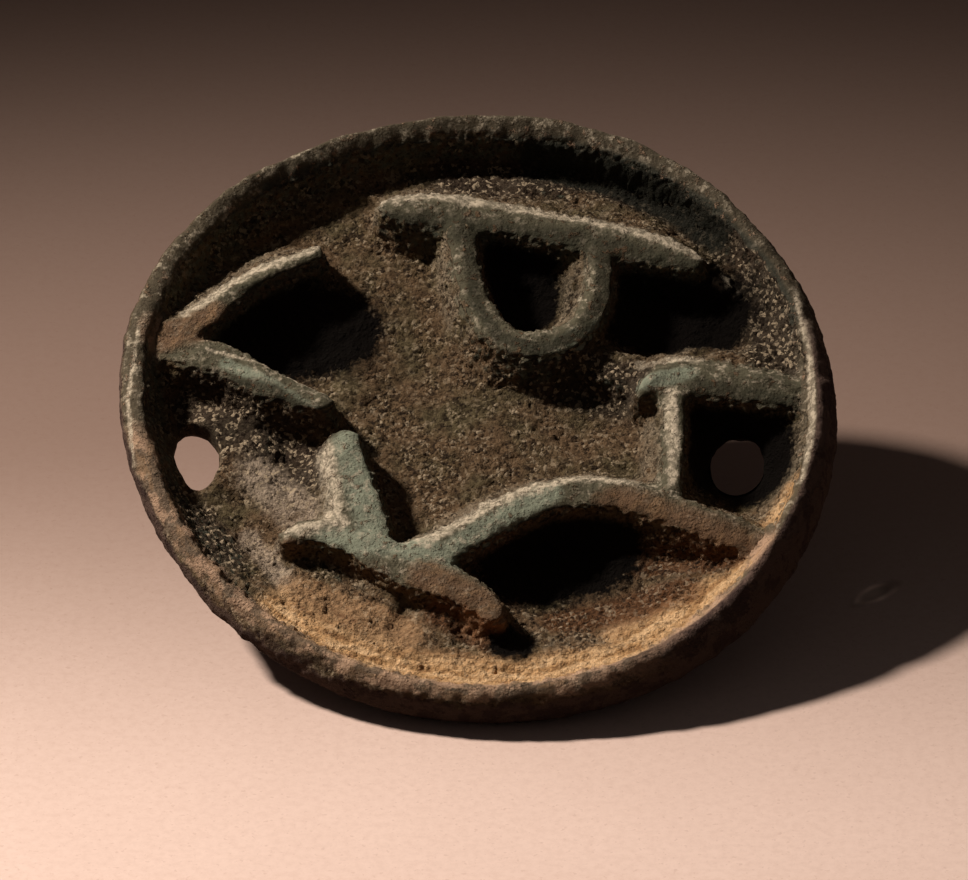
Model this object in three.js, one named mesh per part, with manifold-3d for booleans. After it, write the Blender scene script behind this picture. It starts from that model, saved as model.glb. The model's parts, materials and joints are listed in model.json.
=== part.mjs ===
// Round cast seal matrix: a shallow dish with raised ribs inside, two cord holes and a pierced
// lug on its back, leaning on the lug and on its low edge. Millimetres, +Z up.
import * as THREE from 'three';
import { mergeVertices } from 'three/addons/utils/BufferGeometryUtils.js';
import Module from 'manifold-3d';

// Dish
const outerRadius = 25;
const sealThickness = 5;
const plateThickness = 1.2;
const backEdgeRadius = 2.5;
const lipWidth = 1.7;
const lipChamfer = 0.3;
const wallFootSpread = 1.0;
const dishSegments = 96;
const backEdgeSteps = 6;

// Outline of the dish, as shares of the radius, one every 15 degrees from +X towards +Y
const crestShares = [
  1.0, 0.997, 0.995, 0.995, 0.994, 0.987, 0.978, 0.977, 0.987, 1.01, 1.02, 1.018,
  1.0, 0.981, 0.975, 0.976, 0.977, 0.984, 0.996, 1.005, 1.016, 1.012, 0.995, 0.994,
];
const backShares = [
  1.01, 1.0, 0.995, 0.99, 0.985, 0.98, 0.97, 0.97, 0.98, 1.0, 1.008, 1.0,
  0.99, 0.968, 0.955, 0.964, 0.977, 0.99, 0.998, 1.008, 1.02, 1.025, 1.02, 1.012,
];

// Hollow slope that runs out from the wall's foot over the floor: its longest run, and how much of
// it there is, as shares of that run, one every 15 degrees from +X towards +Y
const slopeRun = 7;
const slopeHollow = 1.6;
const slopeSteps = 4;
const slopeShares = [
  0.34, 0.43, 0.34, 0.45, 0.55, 0.55, 0.45, 0.25, 0.08, 0.06, 0.06, 0.06,
  0.06, 0.08, 0.35, 0.75, 0.95, 1, 0.9, 0.8, 0.7, 0.55, 0.38, 0.2,
];

// Ribs
const crestDrop = 0.4;
const crestWidth = 1.6;
const gentleFlare = 3.0;
const steepFlare = 0.8;
const shoulderDrop = 0.35;
const shoulderInset = 0.22;
const shelfDrop = 1.7;
const crestFallTurnShare = -0.111;
const ribSteps = 14;
const ribEndSteps = 5;

// Oval cord holes beside the wall's foot, longer along the rim than across it
const leftHoleAcross = 3.5;
const leftHoleAlong = 5.6;
const leftHoleWallGap = 0.65;
const leftHoleTurnShare = 0.5208;
const rightHoleAcross = 4.1;
const rightHoleAlong = 5.3;
const rightHoleWallGap = 1.85;
const rightHoleTurnShare = -0.0245;
const holeSegments = 28;

// Lug on the back
const lugHeight = 10;
const lugRootWidth = 14;
const lugFootWidth = 11;
const lugThickness = 5;
const lugCornerRadius = 2.5;
const lugHoleRadius = 2.1;
const lugHoleHeight = 5.2;

// Clearances
const seatGap = 0.3;
const cutOverrun = 1;
const mergeTolerance = 1e-5;

// Each row of a rib: its place across and up the face as shares of the dish radius, then the
// shares of the crest width, of the gentle flare and of the steep flare
const forkUpperShares = [
  [-0.99, 0.206, 1.62, 0.45, 1], [-0.901, 0.233, 1.56, 0.55, 1], [-0.82, 0.267, 1.31, 0.7, 1],
  [-0.764, 0.299, 1.16, 0.85, 1], [-0.708, 0.346, 0.78, 1, 1], [-0.638, 0.4, 0.56, 1.05, 1],
  [-0.526, 0.463, 0.5, 1.1, 0.9], [-0.448, 0.502, 0.47, 0.8, 0.7],
];
const forkLowerShares = [
  [-0.862, 0.186, 1.06, 0.3, 0.7], [-0.778, 0.166, 1.38, 0.3, 0.9], [-0.708, 0.146, 1.44, 0.3, 1],
  [-0.657, 0.112, 1.38, 0.3, 1.2], [-0.582, 0.061, 1.25, 0.3, 1.3], [-0.498, 0.028, 1.06, 0.3, 1.3],
  [-0.436, 0.001, 0.75, 0.3, 1],
];
const topBarShares = [
  [-0.252, 0.665, 0.81, 0.7, 0.8], [-0.204, 0.655, 1.31, 1, 1], [-0.106, 0.647, 1.41, 1, 1],
  [0.006, 0.633, 1.31, 1.05, 1], [0.117, 0.611, 1.0, 1.15, 1], [0.229, 0.581, 1.03, 1.2, 1],
  [0.341, 0.552, 1.19, 1.3, 1.3], [0.453, 0.53, 1.19, 1.3, 1.4], [0.565, 0.497, 0.87, 1.1, 1.2],
  [0.615, 0.47, 0.56, 0.7, 0.8],
];
const loopShares = [
  [-0.039, 0.591, 1.12, 0.45, 0.9], [-0.036, 0.54, 1.12, 0.45, 0.9], [-0.031, 0.466, 1.09, 0.45, 0.9],
  [-0.015, 0.389, 1.12, 0.45, 0.9], [0.008, 0.321, 1.19, 0.45, 0.9], [0.048, 0.25, 1.19, 0.4, 0.9],
  [0.103, 0.21, 1.16, 0.4, 1.1], [0.173, 0.196, 1.16, 0.35, 1.6], [0.243, 0.213, 1.12, 0.35, 2.2],
  [0.302, 0.26, 1.0, 0.3, 2.7], [0.338, 0.328, 0.87, 0.3, 3], [0.35, 0.406, 0.84, 0.3, 3],
  [0.35, 0.48, 0.84, 0.3, 2.8], [0.344, 0.54, 0.87, 0.3, 2.4],
];
const rightBarShares = [
  [0.459, 0.031, 0.44, 0.35, 0.7], [0.501, 0.058, 1.0, 0.8, 1], [0.565, 0.075, 1.25, 1.3, 1],
  [0.677, 0.065, 1.25, 1.35, 1], [0.789, 0.048, 1.25, 1.35, 1], [0.99, 0.021, 1.25, 1.2, 1],
];
const rightPostShares = [
  [0.562, 0.051, 0.62, 0.7, 1], [0.559, -0.033, 0.62, 0.75, 1], [0.557, -0.101, 0.62, 0.75, 1],
  [0.551, -0.185, 0.62, 0.7, 1], [0.548, -0.269, 0.66, 0.6, 1], [0.548, -0.354, 0.69, 0.5, 1],
];
const shelfShares = [
  [0.308, 0.209, 1.38, 0.4, 1.2], [0.364, 0.178, 1.44, 0.6, 1.2], [0.425, 0.144, 1.44, 0.7, 1.2],
  [0.495, 0.107, 1.25, 0.7, 1.2],
];
const chevronShares = [
  [-0.19, -0.505, 0.87, 0.6, 0.9], [-0.134, -0.499, 1.19, 0.75, 0.9], [-0.078, -0.482, 1.28, 0.85, 0.9],
  [0.006, -0.429, 1.22, 0.9, 0.9], [0.117, -0.352, 1.28, 0.9, 0.9], [0.187, -0.327, 1.19, 0.85, 0.9],
  [0.243, -0.311, 1.19, 0.8, 0.9], [0.341, -0.303, 1.34, 0.75, 1], [0.453, -0.327, 1.31, 0.7, 1.1],
  [0.565, -0.377, 1.28, 0.7, 1.2], [0.677, -0.424, 1.31, 0.75, 1.1], [0.803, -0.475, 1.31, 0.8, 1],
  [0.934, -0.526, 1.31, 0.8, 1],
];
const starCrossShares = [
  [-0.531, -0.455, 0.56, 0.5, 0.5], [-0.453, -0.436, 1.0, 0.7, 0.55], [-0.372, -0.448, 1.38, 0.7, 0.6],
  [-0.291, -0.492, 1.56, 0.5, 0.6], [-0.21, -0.543, 1.69, 0.3, 0.6], [-0.13, -0.583, 1.62, 0.3, 0.6],
  [-0.049, -0.62, 1.44, 0.3, 0.6], [0.017, -0.671, 1.19, 0.3, 0.7], [0.045, -0.701, 0.94, 0.3, 0.8],
];
const starUpperShares = [
  [-0.315, -0.405, 2.15, 0.7, 0.8], [-0.327, -0.345, 1.91, 0.75, 0.8],
  [-0.341, -0.289, 1.66, 0.75, 0.8], [-0.361, -0.195, 1.47, 0.75, 0.8], [-0.371, -0.138, 1.38, 0.6, 0.8],
];

// Colours of the worn bronze
const floorColour = 0x5b5343;
const wallColour = 0x545848;
const ribColour = 0x66705f;
const backColour = 0x4d4436;
const bronzeRoughness = 0.85;
const bronzeMetalness = 0.25;

const fullTurn = 2 * Math.PI;
const steepestTilt = fullTurn / 6;
const tiltSteps = 50;
const ribBottom = plateThickness + seatGap;
const ribTop = sealThickness - crestDrop;
const ribHeight = ribTop - ribBottom;
const wallInnerRadius = outerRadius - lipWidth;
const wallFootRadius = wallInnerRadius - wallFootSpread;

const wasm = await Module();
wasm.setup();

function toSolid(geometry) {
  const bare = geometry.index ? geometry.toNonIndexed() : geometry.clone();
  bare.deleteAttribute('normal');
  bare.deleteAttribute('uv');
  const merged = mergeVertices(bare, mergeTolerance);
  const triangles = [];
  for (let i = 0; i < merged.index.count; i += 3) {
    const [a, b, c] = [0, 1, 2].map((corner) => merged.index.getX(i + corner));
    if (a !== b && b !== c && c !== a) {
      triangles.push(a, b, c);
    }
  }
  return new wasm.Manifold(new wasm.Mesh({
    numProp: 3,
    vertProperties: new Float32Array(merged.attributes.position.array),
    triVerts: new Uint32Array(triangles),
  }));
}

function toGeometry(solid) {
  const mesh = solid.getMesh();
  const geometry = new THREE.BufferGeometry();
  geometry.setAttribute('position', new THREE.BufferAttribute(mesh.vertProperties, mesh.numProp));
  geometry.setIndex(new THREE.BufferAttribute(mesh.triVerts, 1));
  geometry.computeVertexNormals();
  return geometry;
}

// Share of the dish radius at an angle, eased between the rows of a table
function shareAt(shares, angle) {
  const place = ((angle / fullTurn) * shares.length + shares.length) % shares.length;
  const row = Math.floor(place);
  const ease = THREE.MathUtils.smoothstep(place - row, 0, 1);
  return THREE.MathUtils.lerp(shares[row % shares.length], shares[(row + 1) % shares.length], ease);
}

// Radius of the wall's inner side at a share of its height: its own, or that of the hollow slope
// where that is further in
function innerRadius(rise, run) {
  const own = THREE.MathUtils.lerp(wallFootRadius, wallInnerRadius, rise);
  const sloped = THREE.MathUtils.lerp(wallFootRadius - run, wallInnerRadius, rise ** (1 / slopeHollow));
  return Math.min(own, sloped);
}

// Points up the wall's inner side, or a gap clear of it, that turnedDish moves in over the slope
function innerSide(gap) {
  const points = [];
  for (let step = 0; step <= slopeSteps; step += 1) {
    const rise = step / slopeSteps;
    const z = THREE.MathUtils.lerp(ribBottom, sealThickness - lipChamfer, rise) + gap;
    const point = new THREE.Vector2(innerRadius(rise, 0) - gap, z);
    points.push(Object.assign(point, { rise, gap }));
  }
  return points;
}

// A closed profile turned about the dish axis, then drawn out to the dish's uneven outline:
// the back follows one table and the crest of the wall the other
function turnedDish(profile) {
  const geometry = new THREE.LatheGeometry(profile, dishSegments);
  geometry.rotateX(Math.PI / 2);
  const position = geometry.attributes.position;
  for (let i = 0; i < position.count; i += 1) {
    const { rise, gap } = profile[i % profile.length];
    const z = position.getZ(i);
    const angle = Math.atan2(position.getY(i), position.getX(i));
    let radius = Math.hypot(position.getX(i), position.getY(i));
    if (rise !== undefined) {
      radius = innerRadius(rise, slopeRun * shareAt(slopeShares, angle)) - gap;
    }
    const level = THREE.MathUtils.clamp(z / sealThickness, 0, 1);
    radius *= THREE.MathUtils.lerp(shareAt(backShares, angle), shareAt(crestShares, angle), level);
    position.setXY(i, Math.cos(angle) * radius, Math.sin(angle) * radius);
  }
  return toSolid(geometry);
}

// Points of the rounded back edge between two heights, from the back upwards
function backEdge(low, high) {
  const centre = outerRadius - backEdgeRadius;
  const points = [];
  for (let step = 0; step <= backEdgeSteps; step += 1) {
    const z = THREE.MathUtils.lerp(low, high, step / backEdgeSteps);
    const drop = backEdgeRadius - z;
    points.push(new THREE.Vector2(centre + Math.sqrt(backEdgeRadius ** 2 - drop ** 2), z));
  }
  return points;
}

function ovalCutter(across, along, wallGap, turnShare) {
  const height = plateThickness + 2 * cutOverrun;
  const cutter = new THREE.CylinderGeometry(1, 1, height, holeSegments);
  cutter.rotateX(Math.PI / 2);
  cutter.scale(across / 2, along / 2, 1);
  cutter.translate(wallFootRadius - wallGap - across / 2, 0, plateThickness / 2);
  cutter.rotateZ(turnShare * fullTurn);
  return toSolid(cutter);
}

function facePlate() {
  const edge = backEdge(0, plateThickness);
  const profile = [new THREE.Vector2(0, 0), ...edge, new THREE.Vector2(0, plateThickness)];
  const leftHole = ovalCutter(leftHoleAcross, leftHoleAlong, leftHoleWallGap, leftHoleTurnShare);
  const rightHole = ovalCutter(rightHoleAcross, rightHoleAlong, rightHoleWallGap, rightHoleTurnShare);
  return turnedDish(profile).subtract(leftHole).subtract(rightHole);
}

function rimWall() {
  const profile = [
    ...backEdge(ribBottom, backEdgeRadius),
    new THREE.Vector2(outerRadius, sealThickness - lipChamfer),
    new THREE.Vector2(outerRadius - lipChamfer, sealThickness),
    new THREE.Vector2(wallInnerRadius + lipChamfer, sealThickness),
    ...innerSide(0).reverse(),
  ];
  profile.push(profile[0].clone());
  return turnedDish(profile);
}

// The space inside the wall, a gap clear of it all round
function dishSpace() {
  const side = innerSide(seatGap);
  const bottom = plateThickness - cutOverrun;
  const foot = Object.assign(side[0].clone().setY(bottom), { rise: 0, gap: seatGap });
  const middle = [new THREE.Vector2(0, bottom), new THREE.Vector2(0, side.at(-1).y)];
  return turnedDish([middle[0], foot, ...side, middle[1]]);
}

function rowAt(rows, column, along) {
  const place = along * (rows.length - 1);
  const row = Math.min(Math.floor(place), rows.length - 2);
  return THREE.MathUtils.lerp(rows[row][column], rows[row + 1][column], place - row);
}

// Half widths of a rib on its left and right side, at a share of the full height below its crest
function halfWidths({ rows, gentleOnLeft }, along, down, inset, grow) {
  const half = (crestWidth * rowAt(rows, 2, along)) / 2 - inset + grow;
  const gentle = half + gentleFlare * rowAt(rows, 3, along) * down;
  const steep = half + steepFlare * rowAt(rows, 4, along) * down;
  return gentleOnLeft ? [gentle, steep] : [steep, gentle];
}

// Outline of a rib at one level: up its left side, round its far end, back and round its start.
// Its crest falls by the rib's tilt towards the dish's lower right.
function ribOutline(rib, curve, { z, down, inset, tilted }, grow) {
  const outline = [];
  const fallAngle = crestFallTurnShare * fullTurn;
  const fall = new THREE.Vector2(Math.cos(fallAngle), Math.sin(fallAngle));
  const addPoint = (along, across, forward) => {
    const centre = curve.getPoint(along);
    const ahead = curve.getTangent(along);
    const offset = new THREE.Vector2(
      ahead.x * forward - ahead.y * across,
      ahead.y * forward + ahead.x * across,
    );
    const half = (crestWidth * rowAt(rib.rows, 2, along)) / 2;
    const drop = tilted ? rib.tilt * Math.max(offset.dot(fall) + half, 0) : 0;
    outline.push(new THREE.Vector3(centre.x + offset.x, centre.y + offset.y, z - drop));
  };
  const addSide = (along, sign) => {
    const [left, right] = halfWidths(rib, along, down, inset, grow);
    addPoint(along, sign > 0 ? left : -right, 0);
  };
  const addEnd = (along, sign) => {
    const [left, right] = halfWidths(rib, along, down, inset, grow);
    for (let step = 1; step < ribEndSteps; step += 1) {
      const turn = (step / ribEndSteps) * Math.PI;
      const across = Math.cos(turn) * sign;
      const forward = Math.sin(turn) * sign * Math.min(left, right);
      addPoint(along, across * (across > 0 ? left : right), forward);
    }
  };
  for (let step = 0; step <= ribSteps; step += 1) {
    addSide(step / ribSteps, 1);
  }
  addEnd(1, 1);
  for (let step = ribSteps; step >= 0; step -= 1) {
    addSide(step / ribSteps, -1);
  }
  addEnd(0, -1);
  return outline.reverse();
}

// A rib whose sides spread towards the floor, with a small shoulder under its crest. Grown, it
// is the space that its neighbours leave free for it.
function ribSolid(rib, grow = 0) {
  const points = rib.rows.map(([u, v]) => new THREE.Vector3(u * outerRadius, v * outerRadius, 0));
  const curve = new THREE.CatmullRomCurve3(points, false, 'centripetal');
  const crest = ribTop - rib.drop;
  const bottom = ribBottom - (grow > 0 ? cutOverrun : 0);
  const levels = [
    { z: bottom, down: (crest - bottom) / ribHeight, inset: 0, tilted: false },
    { z: crest - shoulderDrop + grow, down: shoulderDrop / ribHeight, inset: 0, tilted: true },
    { z: crest + grow, down: 0, inset: shoulderInset, tilted: true },
  ];
  const rings = levels.map((level) => ribOutline(rib, curve, level, grow));
  const count = rings[0].length;
  const positions = [];
  const index = [];
  rings.flat().forEach(({ x, y, z }) => positions.push(x, y, z));
  for (let level = 0; level < levels.length - 1; level += 1) {
    for (let i = 0; i < count; i += 1) {
      const a = level * count + i;
      const b = level * count + ((i + 1) % count);
      index.push(a, b, b + count, a, b + count, a + count);
    }
  }
  const addCap = (level, facesUp) => {
    for (const triangle of THREE.ShapeUtils.triangulateShape(rings[level], [])) {
      const corners = triangle.map((corner) => corner + level * count);
      index.push(...(facesUp ? corners : corners.reverse()));
    }
  };
  addCap(0, false);
  addCap(levels.length - 1, true);
  const geometry = new THREE.BufferGeometry();
  geometry.setAttribute('position', new THREE.Float32BufferAttribute(positions, 3));
  geometry.setIndex(index);
  return toSolid(geometry);
}

// Tab with rounded lower corners and a cord hole through its thickness
function backLug() {
  const shape = new THREE.Shape();
  const [root, foot] = [lugRootWidth / 2, lugFootWidth / 2];
  shape.moveTo(-root, -seatGap);
  shape.lineTo(-foot, -lugHeight + lugCornerRadius);
  shape.quadraticCurveTo(-foot, -lugHeight, -foot + lugCornerRadius, -lugHeight);
  shape.lineTo(foot - lugCornerRadius, -lugHeight);
  shape.quadraticCurveTo(foot, -lugHeight, foot, -lugHeight + lugCornerRadius);
  shape.lineTo(root, -seatGap);
  const hole = new THREE.Path();
  hole.absarc(0, lugHoleHeight - lugHeight, lugHoleRadius, 0, fullTurn, true);
  shape.holes.push(hole);
  const geometry = new THREE.ExtrudeGeometry(shape, {
    depth: lugThickness, bevelEnabled: false, curveSegments: holeSegments / 4,
  });
  geometry.translate(0, 0, -lugThickness / 2);
  geometry.rotateX(Math.PI / 2);
  return toSolid(geometry);
}

// Each rib gives way to the ones laid before it
const ribs = [
  { name: 'star_cross_bar', rows: starCrossShares, gentleOnLeft: true, drop: 0, tilt: 0.15 },
  { name: 'chevron_rib', rows: chevronShares, gentleOnLeft: true, drop: 0, tilt: 0.15 },
  { name: 'star_upper_arm', rows: starUpperShares, gentleOnLeft: true, drop: 0, tilt: 0.1 },
  { name: 'fork_upper_arm', rows: forkUpperShares, gentleOnLeft: true, drop: 0, tilt: 0.25 },
  { name: 'fork_lower_arm', rows: forkLowerShares, gentleOnLeft: true, drop: 0, tilt: 0.2 },
  { name: 'top_bar', rows: topBarShares, gentleOnLeft: true, drop: 0, tilt: 0.32 },
  { name: 'hanging_loop', rows: loopShares, gentleOnLeft: false, drop: 0, tilt: 0.28 },
  { name: 'right_bar', rows: rightBarShares, gentleOnLeft: true, drop: 0, tilt: 0.3 },
  { name: 'right_post', rows: rightPostShares, gentleOnLeft: false, drop: 0, tilt: 0.3 },
  { name: 'low_shelf', rows: shelfShares, gentleOnLeft: true, drop: shelfDrop, tilt: 0.1 },
];

const seal = new THREE.Group();
function addPiece(name, solid, colour) {
  const material = new THREE.MeshStandardMaterial({
    color: colour, roughness: bronzeRoughness, metalness: bronzeMetalness,
  });
  const mesh = new THREE.Mesh(toGeometry(solid), material);
  mesh.name = name;
  seal.add(mesh);
  return mesh;
}

const plate = addPiece('face_plate', facePlate(), floorColour);
const wall = addPiece('rim_wall', rimWall(), wallColour);
const lug = addPiece('back_lug', backLug(), backColour);
const space = dishSpace();
const laid = [];
for (const rib of ribs) {
  let solid = ribSolid(rib).intersect(space);
  for (const clearance of laid) {
    solid = solid.subtract(clearance);
  }
  laid.push(ribSolid(rib, seatGap));
  addPiece(rib.name, solid, ribColour);
}

// Height of the lowest point of some pieces when the dish is leaned over by a tilt
function lowestPoint(meshes, tilt) {
  let lowest = Infinity;
  for (const { geometry } of meshes) {
    const { position } = geometry.attributes;
    for (let i = 0; i < position.count; i += 1) {
      const height = position.getY(i) * Math.sin(tilt) + position.getZ(i) * Math.cos(tilt);
      lowest = Math.min(lowest, height);
    }
  }
  return lowest;
}

// The tilt at which the lug's foot and the dish's low edge both touch the table
let lowTilt = 0;
let highTilt = steepestTilt;
for (let step = 0; step < tiltSteps; step += 1) {
  const tilt = (lowTilt + highTilt) / 2;
  if (lowestPoint([plate, wall], tilt) > lowestPoint([lug], tilt)) {
    lowTilt = tilt;
  } else {
    highTilt = tilt;
  }
}
seal.rotation.x = lowTilt;

const sealAtRest = new THREE.Group();
sealAtRest.add(seal);
sealAtRest.updateMatrixWorld(true);
const bounds = new THREE.Box3().setFromObject(sealAtRest, true);
const middle = bounds.getCenter(new THREE.Vector3());
seal.position.set(-middle.x, -middle.y, -bounds.min.z);

export default sealAtRest;
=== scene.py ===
import json
import math
import bpy
import numpy as np
from mathutils import Matrix, Vector


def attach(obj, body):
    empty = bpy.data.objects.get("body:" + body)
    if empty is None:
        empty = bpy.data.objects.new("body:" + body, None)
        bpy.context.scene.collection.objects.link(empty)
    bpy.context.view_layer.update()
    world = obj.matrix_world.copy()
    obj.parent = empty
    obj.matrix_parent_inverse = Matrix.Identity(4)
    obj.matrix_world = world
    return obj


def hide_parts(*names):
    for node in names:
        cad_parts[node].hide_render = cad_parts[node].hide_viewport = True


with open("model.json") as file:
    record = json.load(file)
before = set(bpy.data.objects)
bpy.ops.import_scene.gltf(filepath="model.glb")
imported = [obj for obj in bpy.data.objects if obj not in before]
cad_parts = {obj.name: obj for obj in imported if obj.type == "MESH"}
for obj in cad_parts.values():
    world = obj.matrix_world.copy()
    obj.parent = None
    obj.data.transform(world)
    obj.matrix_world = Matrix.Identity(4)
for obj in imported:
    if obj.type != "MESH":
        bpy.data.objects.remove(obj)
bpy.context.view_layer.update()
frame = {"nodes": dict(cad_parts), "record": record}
mm = 0.001
xWay, yWay, zWay = (1, 0, 0), (0, 1, 0), (0, 0, 1)
print("frame loaded:", len(frame["nodes"]), "nodes")


# The face's own frame: its origin is the middle of the rim's plane, z points out of the dish
mounts = {mount["name"]: mount for mount in frame["record"]["mounts"]}
faceNormal = Vector(mounts["rim_face"]["axis"])
rimPoint = Vector(mounts["rim_face"]["pos_m"])
footPoint = Vector(mounts["lug_foot"]["pos_m"])
rimCentre = footPoint + faceNormal * (rimPoint - footPoint).dot(faceNormal)
lean = math.atan2(-faceNormal.y, faceNormal.z)
faceToRow = Matrix.Translation(rimCentre) @ Matrix.Rotation(lean, 4, "X")
rowToFace = faceToRow.inverted()


# Camera: level with the photograph, which looks along +Y from 30 degrees above the table
photo = {
    "width": 968,
    "height": 880,
    "pixelsPerMm": 14.3,
    "rimCentreAcross": 478,
    "rimCentreDown": 397,
    "elevation": 30,
    "distance": 1.0,
    "sensor": 36,
    "nearest": 0.01,
    "farthest": 20,
}


def addCamera():
    rise = math.radians(photo["elevation"])
    up = Vector((0, math.sin(rise), math.cos(rise)))
    back = Vector((0, -math.cos(rise), math.sin(rise)))
    pixel = mm / photo["pixelsPerMm"]
    across = (photo["width"] / 2 - photo["rimCentreAcross"]) * pixel
    down = (photo["height"] / 2 - photo["rimCentreDown"]) * pixel
    target = rimCentre + Vector((across, 0, 0)) - up * down
    place = target + back * photo["distance"]
    turn = (math.pi / 2 - rise, 0, 0)
    bpy.ops.object.camera_add(location=place, rotation=turn)
    camera = bpy.context.active_object
    camera.name = "photoCamera"
    camera.data.sensor_width = photo["sensor"]
    camera.data.lens = photo["sensor"] * photo["distance"] / (photo["width"] * pixel)
    camera.data.clip_start = photo["nearest"]
    camera.data.clip_end = photo["farthest"]
    bpy.context.scene.camera = camera


addCamera()
bpy.context.scene.view_settings.view_transform = "Standard"
print("camera placed")


# Shader maths: a wire is one output of a node, and sums of wires add their own nodes
class Wire:
    def __init__(self, tree, socket=None):
        self.tree = tree
        self.socket = socket

    def node(self, kind, settings, inputs, output=0):
        made = self.tree.nodes.new(kind)
        for name, value in settings.items():
            setattr(made, name, value)
        for name, value in inputs.items():
            if isinstance(value, Wire):
                self.tree.links.new(value.socket, made.inputs[name])
            else:
                made.inputs[name].default_value = value
        return Wire(self.tree, made.outputs[output])

    def sum(self, operation, *values):
        return self.node("ShaderNodeMath", {"operation": operation}, dict(enumerate(values)))

    def __add__(self, other):
        return self.sum("ADD", self, other)

    def __radd__(self, other):
        return self.sum("ADD", other, self)

    def __sub__(self, other):
        return self.sum("SUBTRACT", self, other)

    def __rsub__(self, other):
        return self.sum("SUBTRACT", other, self)

    def __mul__(self, other):
        return self.sum("MULTIPLY", self, other)

    def __rmul__(self, other):
        return self.sum("MULTIPLY", other, self)

    def highest(self, other):
        return self.sum("MAXIMUM", self, other)

    def lowest(self, other):
        return self.sum("MINIMUM", self, other)

    def rise(self, low, high):  # 0 below low, 1 above high, eased between
        easing = {"interpolation_type": "SMOOTHSTEP"}
        return self.node("ShaderNodeMapRange", easing, {0: self, 1: low, 2: high})

    def fall(self, low, high):
        return 1 - self.rise(low, high)

    def noise(self, scale, detail=3, roughness=0.55, offset=0):
        place = self.shift((offset, offset, offset)) if offset else self
        inputs = {0: place, "Scale": scale, "Detail": detail, "Roughness": roughness}
        return self.node("ShaderNodeTexNoise", {}, inputs)

    def cells(self, scale, output=0):  # distances in crumbs of one size, or their random colours
        return self.node("ShaderNodeTexVoronoi", {}, {0: self, "Scale": scale}, output)

    def vector(self, operation, *others, output=0):
        inputs = dict(enumerate((self, *others)))
        return self.node("ShaderNodeVectorMath", {"operation": operation}, inputs, output)

    def shift(self, amount):
        return self.vector("ADD", amount)

    def times(self, amount):
        return self.vector("MULTIPLY", amount)

    def unit(self):
        return self.vector("NORMALIZE")

    def size(self):
        return self.vector("LENGTH", output=1)

    def dot(self, direction):
        return self.vector("DOT_PRODUCT", direction, output=1)

    def beside(self, other):  # a place with this value as its x and another as its y
        return self.node("ShaderNodeCombineXYZ", {}, {0: self, 1: other})

    def painted(self, name):  # a coat's mask that the script paints on each piece
        return self.node("ShaderNodeAttribute", {"attribute_name": name}, {}, "Fac")

    def seen(self):  # 1 on rays that the camera sees, straight or through a mirror or glass
        path = self.node("ShaderNodeLightPath", {}, {}).socket.node
        camera, mirror, glass = [
            Wire(self.tree, path.outputs[f"Is {kind} Ray"])
            for kind in ("Camera", "Glossy", "Transmission")
        ]
        return camera.highest(mirror).highest(glass)

    def blend(self, first, second):  # one colour where this mask is 0, another where it is 1
        return self.node("ShaderNodeMix", {"data_type": "RGBA"}, {0: self, 6: first, 7: second}, 2)

    def tint(self, mask, colour):  # this colour with another laid over it
        return mask.blend(self, colour)


def newMaterial(name):
    material = bpy.data.materials.new(name)
    material.use_nodes = True
    tree = material.node_tree
    return material, Wire(tree), tree.nodes["Principled BSDF"]


# Paper that the seal lies on, and the light: one small lamp from the upper left, whose beam fades
# towards the back, as in the photograph. Places are in metres in the row's frame.
stage = {
    "paperSize": 6,
    "paperColour": (0.86, 0.6, 0.48, 1),
    "paperRoughness": 0.95,
    "paperSheen": 0.1,
    "speckColour": (0.5, 0.3, 0.22, 1),
    "speckStrength": 0.32,
    "fineSpecks": (2500, 2),  # scale and detail of the noise
    "fineSpeckRamp": (0.6, 0.7),
    "wideSpecks": (1400, 4, 0.8),
    "wideSpeckRamp": (0.35, 0.75),
    "wideSpeckShare": 0.7,
    "blotColour": (0.7, 0.47, 0.37, 1),
    "blotStrength": 0.12,
    "blots": (90, 3),
    "blotRamp": (0.3, 0.7),
    # Painted shade: the paper is painted darker towards the back
    "farShadeColour": (0.2, 0.112, 0.076, 1),
    "farShadeRamp": (-0.04, 0.022),
    "farShadeStrength": 0.82,
    "bounce": 0.25,  # share of its light that the paper sends up at the seal
    # A patch of painted shadow on the paper hides the light that comes through the right cord hole
    "leak": (0.0279, -0.0028, 0),  # where the lamp shines through the right cord hole
    "leakAlong": (0.27, 0.27, 0),  # the patch's two directions: the shorter, the longer it reaches
    "leakAcross": (-0.75, 0.75, 0),
    "leakShadowRamp": (0.0004, 0.0011),
    "leakShadowColour": (0.05, 0.033, 0.026, 1),
    "keyDirection": (-0.6707, 0.1492, 0.7266),
    "keyFrom": (0, 0, 0.012),
    "keyDistance": 0.4,
    "keyAim": (0, -0.07, 0),
    "keyBeam": 45,
    "keyBlend": 1,
    "keyRadius": 0.022,
    "keyPower": 9.8,
    "keyColour": (1, 0.98, 0.95),
    "fillColour": (0.9, 0.93, 1, 1),
    "fillStrength": 0.035,
    "backdropColour": (0.7, 0.5, 0.4, 1),
    "backdropStrength": 0.9,
}


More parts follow.
